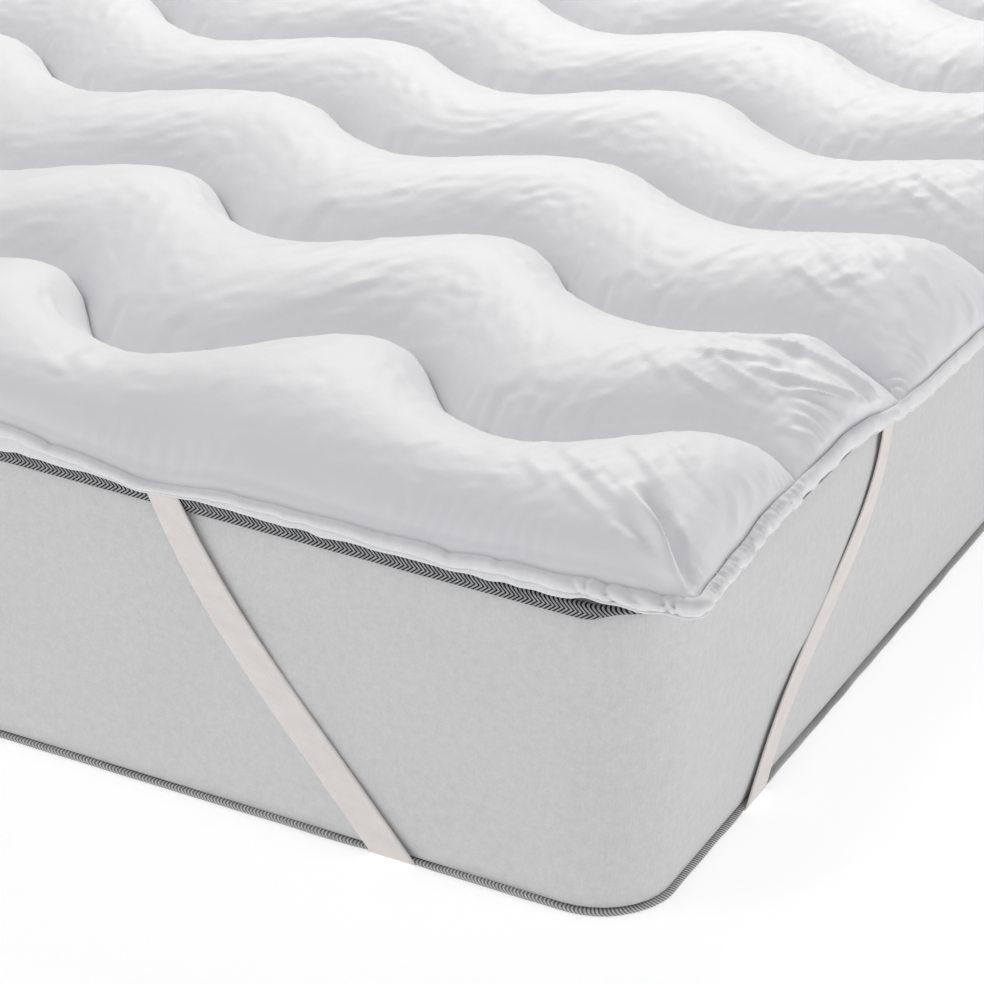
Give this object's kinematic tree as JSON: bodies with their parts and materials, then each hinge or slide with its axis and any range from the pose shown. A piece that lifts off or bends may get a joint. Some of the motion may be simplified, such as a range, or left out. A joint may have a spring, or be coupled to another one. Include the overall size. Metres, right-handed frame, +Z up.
{
  "type": "mattress topper on mattress",
  "caption": "Filled quilted mattress topper with wavy sewn channels and a bound edge, held on a plain mattress by elastic corner straps.",
  "frame": {"origin": "middle of the mattress's underside, where it rests on a bed base", "axes": "+Z up, +Y from the foot of the bed to its head, +X across the bed"},
  "size_m": [1.428, 1.9202, 0.3274],
  "materials": {
    "border_knit": "light grey fine border knit",
    "edge_tape": "charcoal and light grey herringbone woven tape",
    "quilt_cover": "white brushed microfibre with a faint sheen",
    "binding": "white folded bias binding",
    "elastic": "ivory flat woven elastic"
  },
  "bodies": {
    "root": {"mattress": "border_knit", "edge_tape_top": "edge_tape", "edge_tape_bottom": "edge_tape", "topper_pad": "quilt_cover", "topper_binding": "binding", "strap_foot_right": "elastic", "strap_foot_left": "elastic", "strap_head_right": "elastic", "strap_head_left": "elastic"}
  },
  "joints": []
}
